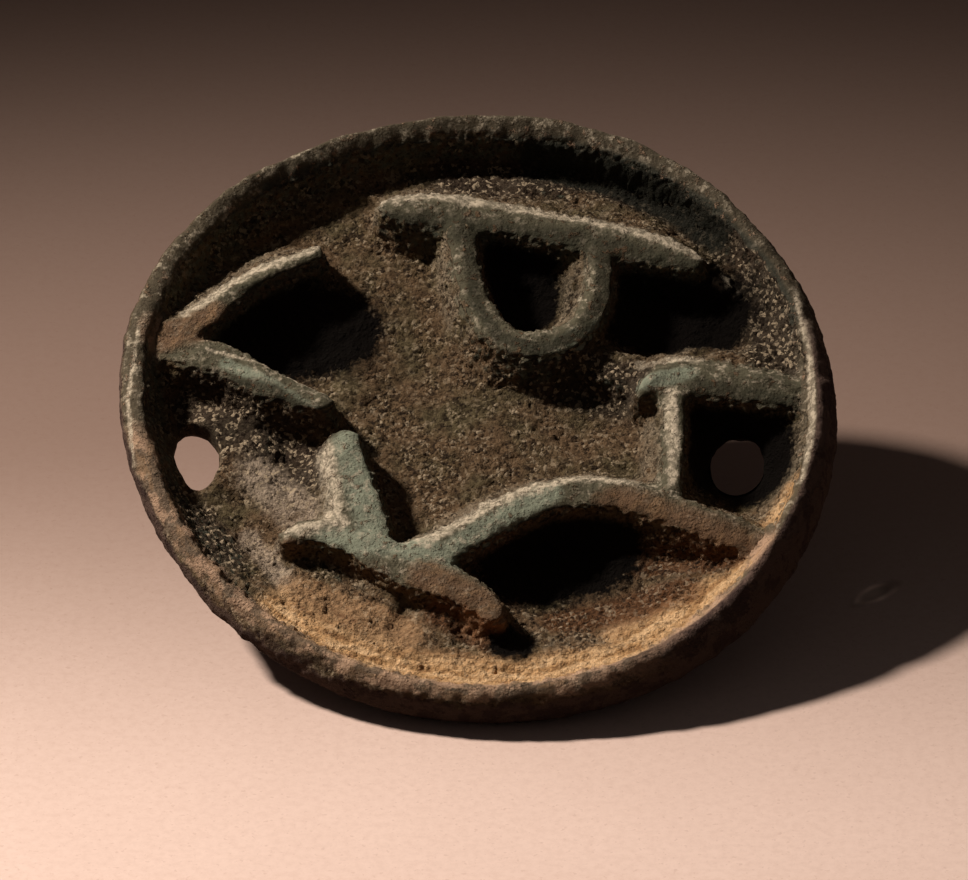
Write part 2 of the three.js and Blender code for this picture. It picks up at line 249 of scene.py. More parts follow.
def addStage():
    bpy.ops.mesh.primitive_plane_add(size=stage["paperSize"])
    paper = bpy.context.active_object
    paper.name = "paper"
    material, wire, shader = newMaterial("paper")
    place = wire.node("ShaderNodeTexCoord", {}, {}, "Object")
    fine = place.noise(*stage["fineSpecks"]).rise(*stage["fineSpeckRamp"])
    wide = place.noise(*stage["wideSpecks"]).rise(*stage["wideSpeckRamp"])
    speck = fine.highest(wide * stage["wideSpeckShare"])
    base = (speck * stage["speckStrength"]).blend(stage["paperColour"], stage["speckColour"])
    blot = place.noise(*stage["blots"]).rise(*stage["blotRamp"])
    shade = base.tint(blot * stage["blotStrength"], stage["blotColour"])
    # painted shade: the paper grows darker towards the back
    farShade = place.dot(yWay).rise(*stage["farShadeRamp"])
    shade = shade.tint(farShade * stage["farShadeStrength"], stage["farShadeColour"])
    # painted shadow: a dark patch over the light that the right hole lets into the seal's shadow
    # the photograph shows no light in the seal's shadow, where the right hole lets some through
    gap = place.shift([-c for c in stage["leak"]])
    oval = gap.dot(stage["leakAlong"]).beside(gap.dot(stage["leakAcross"]))
    shade = shade.tint(oval.size().fall(*stage["leakShadowRamp"]), stage["leakShadowColour"])
    tree = material.node_tree
    tree.links.new(shade.socket, shader.inputs["Base Color"])
    shader.inputs["Roughness"].default_value = stage["paperRoughness"]
    shader.inputs["Specular IOR Level"].default_value = stage["paperSheen"]
    paper.data.materials.append(material)
    # the paper sends less light up at the seal than it shows to the camera
    dimColour = [c * stage["bounce"] for c in stage["paperColour"]]
    dim = wire.node("ShaderNodeBsdfDiffuse", {}, {"Color": dimColour})
    shown = Wire(tree, shader.outputs[0])
    both = wire.node("ShaderNodeMixShader", {}, {0: wire.seen(), 1: dim, 2: shown})
    tree.links.new(both.socket, tree.nodes["Material Output"].inputs["Surface"])


def addLight():
    toLamp = Vector(stage["keyDirection"]).normalized()
    place = Vector(stage["keyFrom"]) + toLamp * stage["keyDistance"]
    turn = (place - Vector(stage["keyAim"])).to_track_quat("Z", "Y").to_euler()
    bpy.ops.object.light_add(type="SPOT", location=place, rotation=turn)
    key = bpy.context.active_object
    key.name = "keyLamp"
    key.data.spot_size = math.radians(stage["keyBeam"])
    key.data.spot_blend = stage["keyBlend"]
    key.data.shadow_soft_size = stage["keyRadius"]
    key.data.energy = stage["keyPower"]
    key.data.color = stage["keyColour"]
    world = bpy.data.worlds.new("softFill")
    bpy.context.scene.world = world
    world.use_nodes = True
    tree = world.node_tree
    wire = Wire(tree)
    fill = tree.nodes["Background"]
    fill.inputs["Color"].default_value = stage["fillColour"]
    fill.inputs["Strength"].default_value = stage["fillStrength"]
    shown = {"Color": stage["backdropColour"], "Strength": stage["backdropStrength"]}
    backdrop = wire.node("ShaderNodeBackground", {}, shown)
    lit = Wire(tree, fill.outputs[0])
    mixed = wire.node("ShaderNodeMixShader", {}, {0: wire.seen(), 1: lit, 2: backdrop})
    tree.links.new(mixed.socket, tree.nodes["World Output"].inputs["Surface"])


addStage()
addLight()
print("paper and light done")


def pick(piece):
    bpy.ops.object.select_all(action="DESELECT")
    piece.select_set(True)
    bpy.context.view_layer.objects.active = piece


def modify(piece, kind, **settings):
    pick(piece)
    bpy.ops.object.modifier_add(type=kind)
    modifier = piece.modifiers[-1]
    for name, value in settings.items():
        setattr(modifier, name, value)
    bpy.ops.object.modifier_apply(modifier=modifier.name)


def triples(piece, name):  # the places or the normals of a mesh's points
    values = np.empty(len(piece.data.vertices) * 3)
    piece.data.vertices.foreach_get(name, values)
    return values.reshape(-1, 3)


def weigh(piece, name, weights):
    group = piece.vertex_groups.new(name=name)
    for index, weight in enumerate(np.round(weights, 3).tolist()):
        if weight:
            group.add([index], weight, "REPLACE")


def eased(value, low, high):
    share = np.clip((value - low) / (high - low), 0, 1)
    return share * share * (3 - 2 * share)


# The casting: the wax strips run together, with the hollows, banks of earth and wear of the real
# one. Places are in mm across and up the face, and heights in mm from the rim's plane, so they are
# below 0 in the dish. A lip value is 0 on the wall's inner edge and 1 on its outer edge.
casting = {
    "sameSpot": 0.001,  # points closer than this are one
    "voxel": 0.2,
    "closing": 0.3,  # fills the gaps between the strips
    "rimGain": 0.12,  # how much fuller the casting ends up than the wax
    "wear": 14,  # rounds of smoothing
    "smoothing": 0.5,
    "hollows": [  # place, radius and depth, and banks where the depth is below 0
        (2.9, 9.3, 3.6, 0.7), (14.5, 7.2, 5.0, 0.7), (-13.2, 5.2, 4.6, 0.7),
        (18.4, -4.0, 4.0, 0.7), (5.5, -12.0, 4.8, 0.7), (8.0, 1.5, 5.0, 0.4),
        (-5.0, 2.0, 4.5, 0.3), (2.6, -17.8, 2.0, 0.5), (-17.5, -2.2, 4.6, -0.8),
        (-11.5, -14.2, 3.2, -0.9), (-7.5, -16.0, 3.0, -0.9), (-3.4, -17.8, 2.6, -0.8),
        (5.0, 18.6, 4.0, -0.5), (11.0, 17.6, 4.0, -0.7), (14.5, -14.5, 3.5, -0.6),
        (12.2, 4.6, 2.2, -0.8), (16.0, 4.4, 2.8, -1.1), (20.0, 3.6, 3.2, -1.1),
        (16.8, 12.0, 2.8, -1.0), (7.4, 10.2, 2.0, -1.0), (-13.5, -6.0, 3.2, -0.6),
    ],
    "hollowCore": 0.45,  # share of the radius that is at full depth
    "hollowDepth": (1.2, 3.5),  # they grow from this depth in the dish to that
    "hollowFloor": (-4.5, -4.2),  # and stop above the back of the plate
    "hollowReach": 23.6,
    "lipLevel": -0.3,  # the height at which the wall's inner edge is measured
    "levelGap": 0.01,
    "innerReach": 24.1,  # what lies farther out belongs to the outer edge
    "lipWidth": 1.7,
    "lipWear": [  # how far the inner edge of the lip is worn down, every 15 degrees from +X
        0.3, 0.4, 0.7, 1.0, 1.3, 1.5, 1.6, 1.6, 1.5, 1.3, 1.0, 0.6,
        0.3, 0.5, 0.8, 0.9, 1.0, 1.1, 1.1, 1.0, 0.8, 0.6, 0.4, 0.3,
    ],
    "wearEdge": 0.9,
    "wearAcross": (-2.4, -0.2),
    "wearHeight": (-3.2, -0.2),
    "lipBevel": [  # how far its outer edge is, every 15 degrees from +X
        1.4, 1.3, 1.0, 0.6, 0.3, 0.2, 0.2, 0.2, 0.2, 0.2, 0.3, 0.4,
        0.6, 1.0, 1.6, 1.9, 1.9, 1.7, 1.5, 1.4, 1.4, 1.5, 1.5, 1.5,
    ],
    "bevelAcross": (0.25, 1.2),
    "bevelHeight": (-3.5, -0.8),
    "wallCut": [  # how far the wall is hollowed under its lip, every 15 degrees from +X
        0.0, 0.2, 0.6, 1.1, 1.6, 1.7, 1.6, 1.0, 0.3, 0.0, 0.0, 0.0,
        0.0, 0.0, 0.0, 0.0, 0.0, 0.0, 0.0, 0.0, 0.0, 0.0, 0.0, 0.0,
    ],
    "cutStart": (0, 0.35),  # it starts and ends this far inside the lip's inner edge
    "cutEnd": (0.5, 1.9),
    "cutHeight": (-3.7, -2.6),
    "lipPolish": 7,  # rounds of smoothing on the lip
    "polishHeight": (-4, -3),
    "polishReach": (20.5, 21.5),
}


def wallRadius(height, widest):  # inner radius of the wall at one height, by azimuth
    node = frame["nodes"]["rim_wall"]
    spots = np.array([rowToFace @ vertex.co for vertex in node.data.vertices]) / mm
    radius = np.hypot(spots[:, 0], spots[:, 1])
    level = (np.abs(spots[:, 2] - height) < casting["levelGap"]) & (radius < widest)
    angle = np.arctan2(spots[level, 1], spots[level, 0])
    order = np.argsort(angle)
    angle, radius = angle[order], radius[level][order]
    return lambda azimuth: np.interp(azimuth, angle, radius, period=2 * math.pi)


def aroundRim(name, angle):
    steps = len(casting[name])
    angles = np.arange(steps) * 2 * math.pi / steps
    return np.interp(angle, angles, casting[name], period=2 * math.pi)


def carve(skin):  # hollows and banks on the floor, and the lip worn on both sides
    spots = triples(skin, "co") / mm
    across, up, height = spots[:, 0].copy(), spots[:, 1].copy(), spots[:, 2].copy()
    reach = np.hypot(across, up)
    deep = eased(-height, *casting["hollowDepth"]) * eased(height, *casting["hollowFloor"])
    deep = deep * (reach < casting["hollowReach"])
    for x, y, radius, depth in casting["hollows"]:
        gap = np.hypot(across - x, up - y)
        near = 1 - eased(gap, radius * casting["hollowCore"], radius)
        spots[:, 2] -= depth * near * deep
    angle = np.arctan2(up, across)
    inner = wallRadius(casting["lipLevel"], casting["innerReach"])(angle)
    lip = (reach - inner) / casting["lipWidth"]
    onSlope = eased(lip, *casting["wearAcross"]) * eased(height, *casting["wearHeight"])
    onEdge = np.clip(casting["wearEdge"] - lip, 0, 1)
    spots[:, 2] -= aroundRim("lipWear", angle) * onEdge * onSlope
    underLip = eased(-lip, *casting["cutStart"]) * (1 - eased(-lip, *casting["cutEnd"]))
    underLip = underLip * eased(height, *casting["cutHeight"])
    spots[:, 2] -= aroundRim("wallCut", angle) * underLip
    bevel = aroundRim("lipBevel", angle) * eased(lip, *casting["bevelAcross"])
    spots[:, 2] -= bevel * eased(height, *casting["bevelHeight"])
    skin.data.vertices.foreach_set("co", (spots * mm).ravel())
    skin.data.update()
    polished = eased(height, *casting["polishHeight"]) * eased(reach, *casting["polishReach"])
    weigh(skin, "lip", polished)
    modify(
        skin, "SMOOTH", factor=casting["smoothing"], iterations=casting["lipPolish"],
        vertex_group="lip",
    )


# Grit on the floor and the ribs' flanks, dents in the worn part of the rim, and ridges all over.
# Each is a noise: the size of its lumps and their depth in mm, its detail and its middle level.
surface = {
    "grit": {"size": 0.5, "depth": 0.48, "detail": 3, "mid": 0.4},
    "dents": {"size": 1.6, "depth": 0.44, "detail": 3, "mid": 0.58},
    "ridges": {"size": 1.5, "depth": 0.39, "detail": 2, "mid": 0.5},
    "insideHeight": (-4.7, -4.4),
    "crestHeight": (-1.3, -0.7),
    "crestLean": (0.5, 0.85),
    "crestSmooth": 0.8,
    "topHeight": (-0.9, -0.3),
    "rimReach": (23.2, 24),
    "rimSmooth": 0.75,  # the lip and the outer wall are smoother by this share
    "smooth": [(-19.7, -3.0, 2.9), (18.3, -3.5, 2.9)],  # around the cord holes: place and radius
    "smoothEdge": 0.8,
    "battered": (-17, -17, 17),  # the part of the rim that is worn rough: place and radius
    "batteredCore": 0.4,
    "batteredReach": (21, 22.5),
    "batteredHeight": (-4.5, -3),
    "outerReach": (23.8, 24.5),
}


def dent(skin, kind, group="", **settings):
    values = surface[kind]
    texture = bpy.data.textures.new(kind, "CLOUDS")
    texture.noise_scale = values["size"] * mm
    texture.noise_depth = values["detail"]
    for name, value in settings.items():
        setattr(texture, name, value)
    modify(
        skin, "DISPLACE", texture=texture, texture_coords="LOCAL", mid_level=values["mid"],
        strength=values["depth"] * mm, vertex_group=group,
    )


def roughen(skin):
    spots = triples(skin, "co") / mm
    across, up, height = spots.T
    reach = np.hypot(across, up)
    level = triples(skin, "normal")[:, 2]
    crest = eased(height, *surface["crestHeight"]) * eased(level, *surface["crestLean"])
    gritty = eased(height, *surface["insideHeight"]) * (1 - surface["crestSmooth"] * crest)
    gritty *= 1 - surface["rimSmooth"] * eased(height, *surface["topHeight"])
    for x, y, radius in surface["smooth"]:
        gap = np.hypot(across - x, up - y)
        gritty *= eased(gap, radius, radius + surface["smoothEdge"])
    gritty *= 1 - surface["rimSmooth"] * eased(reach, *surface["rimReach"])
    weigh(skin, "gritty", gritty)
    dent(skin, "grit", "gritty", noise_type="HARD_NOISE")
    x, y, radius = surface["battered"]
    gap = np.hypot(across - x, up - y)
    worn = 1 - eased(gap, radius * surface["batteredCore"], radius)
    outside = 1 - surface["rimSmooth"] * eased(reach, *surface["outerReach"])
    worn *= eased(reach, *surface["batteredReach"]) * outside
    weigh(skin, "battered", worn * eased(height, *surface["batteredHeight"]))
    dent(skin, "dents", "battered")
    dent(skin, "ridges")


def waxCopy(name):  # one strip of the wax model, laid flat in the face's frame
    node = frame["nodes"][name]
    copy = bpy.data.objects.new(name + "Wax", node.data.copy())
    bpy.context.scene.collection.objects.link(copy)
    copy.data.transform(rowToFace)
    pick(copy)
    bpy.ops.object.mode_set(mode="EDIT")
    bpy.ops.mesh.select_all(action="SELECT")
    bpy.ops.mesh.remove_doubles(threshold=casting["sameSpot"] * mm)
    bpy.ops.object.mode_set(mode="OBJECT")
    return copy


def castSkin():
    strips = [waxCopy(name) for name in frame["nodes"]]
    pick(strips[0])
    for strip in strips:
        strip.select_set(True)
    bpy.ops.object.join()
    skin = bpy.context.active_object
    skin.name = "castingSkin"
    voxel, closing = casting["voxel"] * mm, casting["closing"] * mm
    modify(skin, "REMESH", mode="VOXEL", voxel_size=voxel)
    modify(skin, "DISPLACE", strength=closing, mid_level=0)
    modify(skin, "REMESH", mode="VOXEL", voxel_size=voxel)
    modify(skin, "DISPLACE", strength=casting["rimGain"] * mm - closing, mid_level=0)
    modify(skin, "SMOOTH", factor=casting["smoothing"], iterations=casting["wear"])
    carve(skin)
    roughen(skin)
    skin.vertex_groups.clear()
    skin.data.materials.clear()
    return skin


skin = castSkin()
print("casting skin:", len(skin.data.polygons), "faces")


# The casting is parted where the wax strips met, so that each strip keeps its own piece. The cutter
# is the strip itself, grown a little so that it takes in the metal that has run into the gaps.
parting = {
    "voxel": 0.3,  # of the cutters
    "grow": 0.4,
    "names": {
        "star_cross_bar": "starCrossBar",
        "star_upper_arm": "starUpperArm",
        "chevron_rib": "chevronRib",
        "fork_upper_arm": "forkUpperArm",
        "fork_lower_arm": "forkLowerArm",
        "hanging_loop": "hangingLoop",
        "top_bar": "topBar",
        "right_bar": "rightBar",
        "right_post": "rightPost",
        "low_shelf": "lowShelf",
        "back_lug": "backLug",
        "rim_wall": "rimWall",
    },
    "rest": ("face_plate", "facePlate"),  # what is left when all the others are cut out
}


def twin(piece, name):
    copy = piece.copy()
    copy.data = piece.data.copy()
    copy.name = name
    bpy.context.scene.collection.objects.link(copy)
    return copy


def partCasting(skin):
    parts = {}
    for node, name in parting["names"].items():
        cutter = waxCopy(node)
        modify(cutter, "REMESH", mode="VOXEL", voxel_size=parting["voxel"] * mm)
        modify(cutter, "DISPLACE", strength=parting["grow"] * mm, mid_level=0)
        part = twin(skin, name)
        modify(part, "BOOLEAN", operation="INTERSECT", solver="MANIFOLD", object=cutter)
        modify(skin, "BOOLEAN", operation="DIFFERENCE", solver="MANIFOLD", object=cutter)
        bpy.data.objects.remove(cutter)
        parts[node] = part
    node, skin.name = parting["rest"]
    parts[node] = skin
    return parts


parts = partCasting(skin)
for node, part in parts.items():
    print("part", part.name, len(part.data.polygons), "faces")


# Coats of dust, patina and earth, and of painted shade, shadow, light and highlight, each painted
# in strips: half width, then the points of a line, in mm across and up the face
coatEdge = 1.7  # how far a strip fades out, times its half width
coats = {
    # Sand, with painted light on flanks that face the lamp and painted highlights along the lip and
    # edges
    "sandAndPaintedLight": [
        (
            0.62, (-6.6, 17.4), (-3.4, 17.8), (1.5, 17.0), (5.7, 16.2), (9.9, 15.2),
            (14.8, 13.3), (18.3, 10.4),
        ),
        (0.6, (-20.5, 8.0), (-15.9, 11.3), (-10.9, 13.4)),
        (0.7, (-10.7, -4.0), (-10.0, -8.4), (-10.3, -10.3)),
        (0.7, (-13.0, -11.0), (-9.7, -10.1)),
        (0.75, (-3.7, -11.6), (1.5, -8.0), (6.8, -6.1), (10.6, -6.4)),
        (0.5, (11.5, 4.0), (15.5, 4.0)),
        (0.55, (13.5, 0.6), (13.8, -7.6)),
        (0.14, (-19.1, 4.4), (-15.1, 3.2), (-10.3, 0.5)),
        (0.16, (-23.8, 6.0), (-24.5, 0.0), (-24.1, -5.0)),
        (0.22, (-21.5, 11.5), (-18.0, 16.2), (-12.0, 21.2)),
        (0.3, (22.3, 9.5), (23.3, 4.0), (23.4, -2.0), (22.7, -7.0)),
    ],
    "teal": [
        (1.3, (-9.0, -3.4), (-8.3, -6.7), (-7.2, -11.0)),
        (1.3, (-10.3, -11.8), (-5.5, -11.8), (-2.0, -13.5)),
        (1.0, (-3.4, -13.7), (1.5, -10.1), (5.0, -7.8)),
        (0.5, (-17.7, 3.2), (-14.5, 1.5), (-10.9, -1.3)),
        (0.7, (11.3, 1.5), (14.8, 2.4)),
        (0.8, (5.7, 4.6), (8.5, 6.3)),
    ],
    # Dark patina, in part darker as painted shade
    "dark": [
        (1.5, (-3.4, 15.0), (1.5, 14.2), (8.5, 13.0), (14.8, 11.1), (18.0, 9.3)),
        (
            0.6, (-14.8, 18.4), (-11.5, 20.0), (-5.9, 22.0), (0.0, 22.8), (6.0, 22.3),
            (11.6, 20.1), (16.5, 16.5), (20.2, 11.6), (22.2, 7.0),
        ),
        (0.8, (8.0, 2.6), (11.0, 2.6)),
        (
            0.5, (-0.6, 12.6), (-0.2, 8.4), (1.5, 5.5), (4.3, 4.4), (7.1, 5.7), (8.9, 9.3),
            (8.5, 12.6),
        ),
        (0.8, (15.5, 1.3), (21.8, 0.0)),
        (0.9, (8.5, -8.4), (15.5, -11.4), (19.7, -12.8)),
        (0.5, (-16.6, 9.3), (-11.0, 11.6)),
        (1.1, (-18.6, 1.6), (-14.5, 0.6), (-10.6, -2.2)),
        (1.0, (-6.6, 15.4), (-3.4, 15.0)),
    ],
    "bare": [
        (1.7, (-3.4, -14.8), (1.5, -18.1)),
        (1.6, (-22.2, 5.9), (-18.4, 6.9)),
        (1.9, (9.9, -8.9), (15.5, -11.0), (20.1, -12.8)),
        (0.8, (-13.1, -12.2), (-10.3, -13.5)),
        (
            2.4, (-23.5, -4.5), (-20.5, -13.5), (-13.0, -20.5), (-3.0, -24.5), (8.0, -23.5),
            (17.5, -17.5),
        ),
    ],
    "pale": [
        (1.6, (-15.5, -4.4), (-12.5, -7.8)),
        (0.9, (-16.0, -9.5), (-13.5, -14.0)),
    ],
    # Painted shade in patches on the floor and along the walls
    "gloomShade": [
        (3.2, (-18.4, 1.4), (-12.4, -3.6)),
        (2.4, (-21.2, -7.4), (-18.0, -11.6)),
        (2.6, (9.9, 20.8), (14.8, 18.7), (19.7, 14.1)),
        (2.6, (-1.3, 20.8), (5.7, 20.8)),
        (2.2, (4.3, 4.4), (11.3, 2.3)),
        (3.0, (20.4, 11.6), (21.8, 2.3)),
    ],
    # Painted shade on the upper right inner wall
    "wallShade": [(1.3, (4.0, 22.3), (8.8, 20.9), (13.5, 18.4), (16.8, 15.4))],
    "ochre": [
        (
            2.2, (-13.8, -17.2), (-9.5, -19.8), (-4.1, -21.5), (2.9, -22.0), (9.9, -21.2),
            (15.5, -18.4), (19.7, -13.7), (22.9, -7.8),
        ),
        (2.0, (-12.4, -15.4), (-5.5, -18.3)),
        (1.9, (10.0, -17.9), (13.0, -17.2), (16.5, -15.2)),
        (0.9, (-0.6, -17.5), (1.5, -18.8)),
    ],
    "rust": [
        (1.3, (9.9, -11.2), (15.5, -12.1), (20.4, -11.6)),
        (1.2, (-2.7, -16.7), (1.5, -19.2)),
        (1.7, (5.7, -16.5), (9.8, -15.8), (14.1, -14.6)),
    ],
    # Painted shadow: black where cast shadows fill the deep corners
    "pitShadow": [
        (4.2, (10.5, 10.3), (15.6, 9.4)),
        (3.9, (-15.4, 7.8), (-10.2, 8.2)),
        (2.9, (2.9, 13.9), (3.2, 10.8)),
        (4.2, (17.1, -1.8), (18.8, -2.6)),
        (4.1, (3.3, -11.2), (7.8, -10.4)),
        (1.7, (2.2, -18.8), (2.4, -19.2)),
    ],
}


def paintCoats(part):
    spots = triples(part, "co")[:, :2] / mm
    for name, strips in coats.items():
        mask = np.zeros(len(spots))
        for width, *line in strips:
            for start, end in zip(line, line[1:]):
                way = np.subtract(end, start)
                share = np.clip((spots - start) @ way / (way @ way), 0, 1)
                gap = np.hypot(*(spots - start - share[:, None] * way).T)
                mask = np.maximum(mask, 1 - eased(gap, 0, width * coatEdge))
        part.data.attributes.new(name, "FLOAT", "POINT").data.foreach_set("value", mask)


# Finishes: all share the ground that fills the dish, and differ in what lies on their high parts
ground = {
    "earth": (0.19, 0.112, 0.058, 1),
    "olive": (0.14, 0.1, 0.05, 1),
    "shade": (0.024, 0.015, 0.01, 1),
    "crumbAndHighlight": (0.5, 0.36, 0.225, 1),
    "gloomShade": (0.05, 0.035, 0.025, 1),
    "sandAndPaintedLight": (0.6, 0.465, 0.32, 1),
    "lampLitSand": (0.3, 0.22, 0.14, 1),
    "pitShadow": (0.005, 0.0035, 0.0025, 1),
    "wallShade": (0.022, 0.021, 0.015, 1),
    "pale": (0.5, 0.365, 0.255, 1),
    "ochre": (0.56, 0.3, 0.125, 1),
    "paleOchre": (0.9, 0.56, 0.29, 1),
    "brownOchre": (0.37, 0.205, 0.1, 1),
    "rust": (0.16, 0.06, 0.024, 1),
    "outer": (0.13, 0.078, 0.058, 1),
    "outerBlot": (0.07, 0.041, 0.033, 1),
    "greenAndFillLight": (0.12, 0.13, 0.09, 1),
    "roughness": 0.8,
    "sheen": 0.03,
    "lampAzimuth": 140,  # the way to the lamp across the face, in degrees from +X
    "crumbs": 4.0,  # crumbs per mm
    "streakReach": 1.4,  # how fast the streaks change from the middle outwards, and around it
    "streakAround": 7,
}
finishes = {
    "bronze_rib": {
        "name": "patina",
        "blotted": 0.3,
        "top": (0.1, 0.085, 0.052, 1),
        "teal": (0.25, 0.25, 0.17, 1),
        "dark": (0.05, 0.045, 0.028, 1),
        "bare": (0.185, 0.1, 0.054, 1),
    },
    "bronze_wall": {
        "name": "lip",
        "blotted": 0.7,
        "top": (0.095, 0.072, 0.045, 1),
        "teal": (0.2, 0.18, 0.12, 1),
        "dark": (0.042, 0.039, 0.027, 1),
        "bare": (0.52, 0.31, 0.19, 1),
    },
    "bronze_floor": {"name": "floor"},
    "bronze_back": {"name": "back"},
}

# Noises that break the layers up: scale, detail, roughness and offset
noises = {
    "broad": (0.25, 3, 0.6),
    "patch": (0.9, 4, 0.65, 7),
    "mottle": (2.0, 3, 0.7, 21),
    "grain": (2.8, 5, 0.78),
    "fine": (7, 2),
    "clumps": (0.7, 3, 0.6, 33),
    "blots": (0.55, 4, 0.7, 45),
    "wornSpots": (1.6, 4, 0.7, 3),
    "streak": (1, 4, 0.65),
}

# Where a layer starts and where it is full, and it falls where the first value is the higher.
# Heights are in mm from the rim's plane and reaches in mm from the middle of the face. A lean is 1
# where a surface looks straight that way, and the others are values of a noise or a mask.
ramps = {
    "coat": (0.15, 0.8),
    "clumps": (0.4, 0.62),
    "blots": (0.47, 0.57),
    "olive": (0.4, 0.65),
    "leeLean": (0.15, 0.55),
    "leeHeight": (-4, -2.4),
    "leeTop": (-0.3, -0.9),
    "leePatch": (0.35, 0.6),
    "greenHeight": (-3.4, -2.6),
    "greenInward": (-0.2, -0.6),
    "greenShadow": (0.1, -0.2),
    "greenMottle": (0.35, 0.6),
    "ochreHeight": (-4.4, -2.4),
    "ochreReach": (24, 23.2),
    "paleHeight": (-0.9, -1.4),
    "shoreReach": (19.3, 22),
    "shoreStreak": (0.42, 0.64),
    "rustStreak": (0.46, 0.32),
    "shadeGrain": (0.5, 0.36),
    "shadeTone": (0.4, 0.1),
    "brightTone": (0.7, 0.95),
    "brightPatch": (0.35, 0.6),
    "brightLean": (0.2, 0.5),
    "pitShadowHeight": (-1.2, -2.2),
    "wallShadeHeight": (-0.4, -0.8),
    "crumbEdge": (0.6, 0.05),
    "crestHeight": (-1.2, -0.7),
    "crestLean": (0.4, 0.7),
    "wornSpots": (0.56, 0.66),
    "brownStreak": (0.5, 0.62),
    "crestMottle": (0.46, 0.66),
    "crestPatch": (0.4, 0.6),
    "crestGrain": (0.47, 0.3),
    "dustHeight": (-2.8, -1.6),
    "dustLean": (-0.35, -0.05),
    "dustMottle": (0.4, 0.6),
    "easternAcross": (6, 16),
    "easternUp": (10, 3),
    "easternReach": (23.5, 23.9),
    "outerOutward": (0.3, 0.7),
    "outerReach": (23, 23.8),
    "outerLean": (0.6, 0.25),
    "underside": (-4.6, -4.9),
}

# How strong each layer is, and how much one noise or layer counts in another
strengths = {
    "coatMottle": 0.6,
    "coatPatch": 0.4,
    "coatMiddle": 0.5,
    "darkRagged": 0.6,
    "lampLitSand": 0.4,
    "leePatch": 0.5,
    "gloomShade": 0.8,
    "greenAndFillLight": 0.8,
    "pale": 0.75,
    "brownOchre": 0.92,
    "ochre": 0.9,
    "paleOchre": 0.8,
    "rustStreak": 0.6,
    "rust": 0.75,
    "ochreCover": 0.55,
    "paleCover": 0.2,
    "grainShade": 0.9,
    "toneShade": 0.35,
    "clumpShade": 0.5,
    "brightGrain": 1.2,
    "brightClumps": 0.5,
    "brightPatch": 0.3,
    "brightGloom": 0.65,
    "brightPale": 0.25,
    "pitShadow": 1.5,
    "wallShade": 0.9,
    "crestRagged": 0.7,
    "wornSpots": 0.7,
    "bare": 0.9,
    "brownStreak": 0.4,
    "crestSand": 0.65,
    "crestSandDark": 0.5,
    "crestSandBare": 0.45,
    "crestGrain": 0.75,
    "crest": 0.94,
    "crestSmooth": 0.72,
    "bareRough": 0.6,
    "dust": 0.3,
    "dustMottle": 0.65,
    "outer": 0.95,
}
bumps = {"crumbs": 0.04, "clumps": 0.1, "grain": 0.42, "fine": 0.06, "mottle": 0.3}  # in mm


def ramp(wire, name):
    start, full = ramps[name]
    return wire.rise(start, full) if start < full else wire.fall(full, start)


